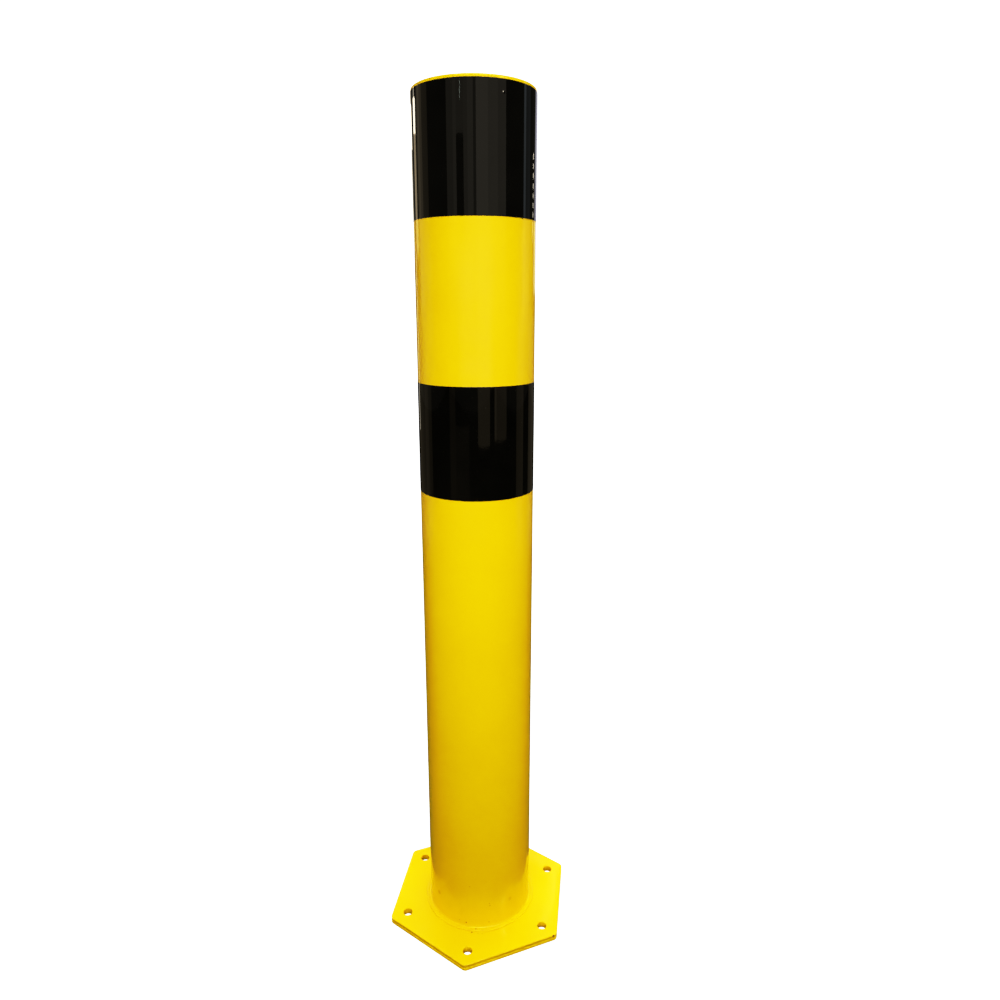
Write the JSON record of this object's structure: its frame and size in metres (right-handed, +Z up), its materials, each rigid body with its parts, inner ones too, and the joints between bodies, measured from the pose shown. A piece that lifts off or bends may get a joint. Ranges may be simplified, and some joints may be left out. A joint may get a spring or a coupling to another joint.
{
  "type": "steel safety bollard",
  "caption": "Round steel safety post with two black bands, welded to a hexagonal base plate that is anchored to the floor to guard against vehicle impact.",
  "frame": {"origin": "middle of the base plate's underside, where the post's axis meets the floor", "axes": "+Z up along the post's axis; one corner of the hexagonal plate points along -Y and two of its flats face +X and -X"},
  "size_m": [0.26, 0.2978, 1.2],
  "materials": {
    "yellow_powder_coat": "glossy signal-yellow powder coat with slight orange peel",
    "black_gloss_film": "high-gloss black self-adhesive film"
  },
  "bodies": {
    "root": {"base_plate": "yellow_powder_coat", "tube": "yellow_powder_coat", "top_cap": "yellow_powder_coat", "base_weld": "yellow_powder_coat", "cap_weld": "yellow_powder_coat", "upper_black_band": "black_gloss_film", "lower_black_band": "black_gloss_film"}
  },
  "joints": []
}
